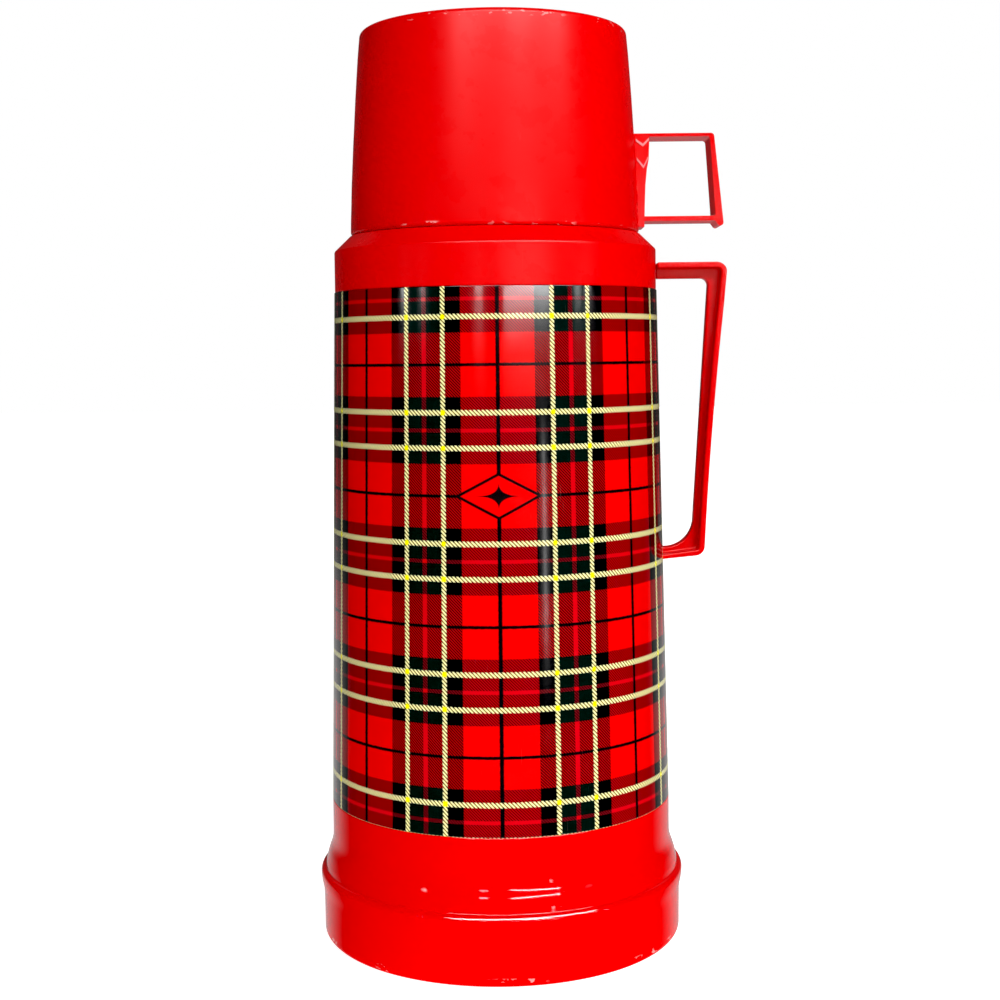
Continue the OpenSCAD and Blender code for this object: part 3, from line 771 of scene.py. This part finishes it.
WEDGE_Z = CUP_LOW_Z - 2.1
wedge = ([(cup_wall_at(z) - 0.5, z) for z in (WEDGE_Z, 273, 280, 287, 294, CUP_ARM_Z)]
         + [(58.2, CUP_ARM_Z), (57.9, CUP_ARM_Z - 9.5), (57.2, CUP_ARM_Z - 13), (56.6, CUP_ARM_Z - 19),
            (56.3, CUP_ARM_Z - 27), (56.1, WEDGE_Z)])
chevrons = [[(53.0, CUP_ARM_Z - 2.0), (55.7, CUP_ARM_Z - 3.9), (57.9, CUP_ARM_Z - 1.7)],
            [(53.4, CUP_ARM_Z - 9.0), (55.9, CUP_ARM_Z - 12.0), (57.7, CUP_ARM_Z - 8.4)]]
jobs = [("DIFFERENCE", slab(loop_gap, -cup_half - 2, cup_half + 2)),
        ("UNION", slab(wedge, -cup_half + 0.02, cup_half - 0.02))]
for left, tip, right in chevrons:
    # a raised V on the wedge's two flat sides
    line = [left, tip, right,
            (right[0], right[1] - 0.9), (tip[0], tip[1] - 1.0), (left[0], left[1] - 0.9)]
    for side in (-cup_half, cup_half):
        jobs.append(("UNION", slab(line, side - 0.5, side + 0.5)))
loop = carve(slab(loop_face, -cup_half, cup_half), jobs)
cup_handle_red = handle_red.copy()
cup_handle_red.name = "cup_handle_red"
w = Wiring(cup_handle_red.node_tree)
shader = cup_handle_red.node_tree.nodes["Principled BSDF"]
split = w.add("ShaderNodeSeparateXYZ")
w.put(w.add("ShaderNodeTexCoord").outputs["Object"], split.inputs[0])
# the tops of the raised Vs get a painted pale highlight, standing in for the white glints on their edges
proud = w.calc("GREATER_THAN", w.size(split.outputs[1]), (cup_half + 0.2) * MM)
at_wedge = w.calc("LESS_THAN", split.outputs[0], 59 * MM)
painted_v_highlight = w.times(w.times(proud, at_wedge), 0.6)
shade = shader.inputs["Base Color"].links[0].from_socket
w.put(w.blend(painted_v_highlight, shade, (0.95, 0.50, 0.50)), shader.inputs["Base Color"])
loop = make_piece(loop, "cup_handle_moulding", cup_handle_red, "cup", "cup_handle")
round_edges(loop, 0.45)

# ---------------------------------------------------------------- floor, lights and camera
# A white studio sweep lit from high in front, with a dim room before the flask and
# a bright one behind it, so that its glossy edges catch white.

floor_mesh = bmesh.new()
bmesh.ops.create_grid(floor_mesh, x_segments=1, y_segments=1, size=6)
floor = loose(floor_mesh, "studio_floor")
white, w, shader, place = new_material("studio_white")
tint = w.blend(w.noise(place, 3.0), (0.93, 0.93, 0.93), (0.91, 0.91, 0.91))
# the floor glows a little round the flask, and looks white to the camera all over
reach = w.add("ShaderNodeVectorMath", operation="LENGTH")
w.put(place, reach.inputs[0])
near = w.times(w.under(reach.outputs["Value"], 0.35, 0.25), 0.65)
glow = w.most(w.times(w.add("ShaderNodeLightPath").outputs["Is Camera Ray"], 0.95), near)
w.fill(shader, {"Base Color": tint, "Roughness": 0.9, "Specular IOR Level": 0.1,
                "Emission Color": w.blend(glow, (0, 0, 0), (1, 1, 1)), "Emission Strength": 1.0})
floor.data.materials.append(white)
floor.visible_glossy = False


def soft_box(name, place, aim, wide, tall, power):
    """A rectangular studio lamp at a place, turned towards another: metres and watts."""
    lamp = bpy.data.lights.new(name, "AREA")
    lamp.shape, lamp.size, lamp.size_y, lamp.energy = "RECTANGLE", wide, tall, power
    obj = bpy.data.objects.new(name, lamp)
    obj.location = place
    obj.rotation_euler = (Vector(aim) - Vector(place)).to_track_quat("-Z", "Y").to_euler()
    bpy.context.scene.collection.objects.link(obj)
    return obj


soft_box("key_right", (0.95, -2.22, 1.75), (0, 0, 0.15), 0.8, 0.5, 66)
BASE_TOP = 0.06


def small_window(name, around, up, away, wide, tall, power):
    """A small bright pane that only shows as a reflection.

    It stands so many degrees round and up from the top of the base, and so many metres away.
    """
    a, b = math.radians(around), math.radians(up)
    level = away * math.cos(b)
    place = (level * math.sin(a), -level * math.cos(a), BASE_TOP + away * math.sin(b))
    pane = soft_box(name, place, (0, 0, BASE_TOP), wide, tall, power)
    pane.visible_diffuse = False


small_window("long_strip", 15, 48, 1.2, 1.9, 0.45, 85)
small_window("bar_front", 21, 14.6, 1.05, 0.56, 0.022, 1.7)
small_window("bar_dot_left", -11, 14.6, 1.05, 0.09, 0.02, 0.16)
small_window("bar_dot_right", 57, 14.6, 1.05, 0.08, 0.02, 0.14)
small_window("bar_dot_far_right", 65, 14.6, 1.05, 0.08, 0.02, 0.14)
small_window("lamp_left", -50, 15, 1.05, 0.06, 0.03, 0.12)
small_window("lamp_far_left", -64, 14, 1.05, 0.09, 0.02, 0.12)
small_window("pane_edge", 31, -1, 1.6, 0.05, 0.26, 0.40)

world = bpy.data.worlds.new("studio_room")
bpy.context.scene.world = world
world.use_nodes = True
w = Wiring(world.node_tree)
room = world.node_tree.nodes["Background"]
direction = w.add("ShaderNodeSeparateXYZ")
w.put(w.add("ShaderNodeTexCoord").outputs["Generated"], direction.inputs[0])
rays = w.add("ShaderNodeLightPath")
behind = w.above(direction.outputs[1], 0.66, 0.18)
low = w.under(direction.outputs[2], -0.13, 0.08)
high = w.above(direction.outputs[2], 0.50, 0.15)
bright = w.plus(w.times(low, 0.50), w.plus(w.times(high, 0.20), 0.05))
glossy = w.plus(w.times(behind, bright), 0.004)
lit = w.blend(rays.outputs["Is Glossy Ray"], (0.27, 0.27, 0.27), glossy)
w.put(w.blend(rays.outputs["Is Camera Ray"], lit, (1.0, 1.0, 1.0)), room.inputs["Color"])
view = bpy.context.scene.view_settings
view.view_transform = "Standard"
view.use_curve_mapping = True
view.curve_mapping.black_level = (0.005, 0.005, 0.005)

lens = bpy.data.cameras.new("camera")
lens.sensor_width, lens.lens, lens.shift_y = 36.0, 58.56, -0.0598
lens.clip_start, lens.clip_end = 0.01, 50
camera = bpy.data.objects.new("camera", lens)
camera.matrix_world = (Matrix.Translation((0.00112, -0.6206, 0.2193))
                       @ Matrix.Rotation(math.radians(87), 4, "X") @ Matrix.Rotation(-0.0108, 4, "Z"))
bpy.context.scene.collection.objects.link(camera)
bpy.context.scene.camera = camera
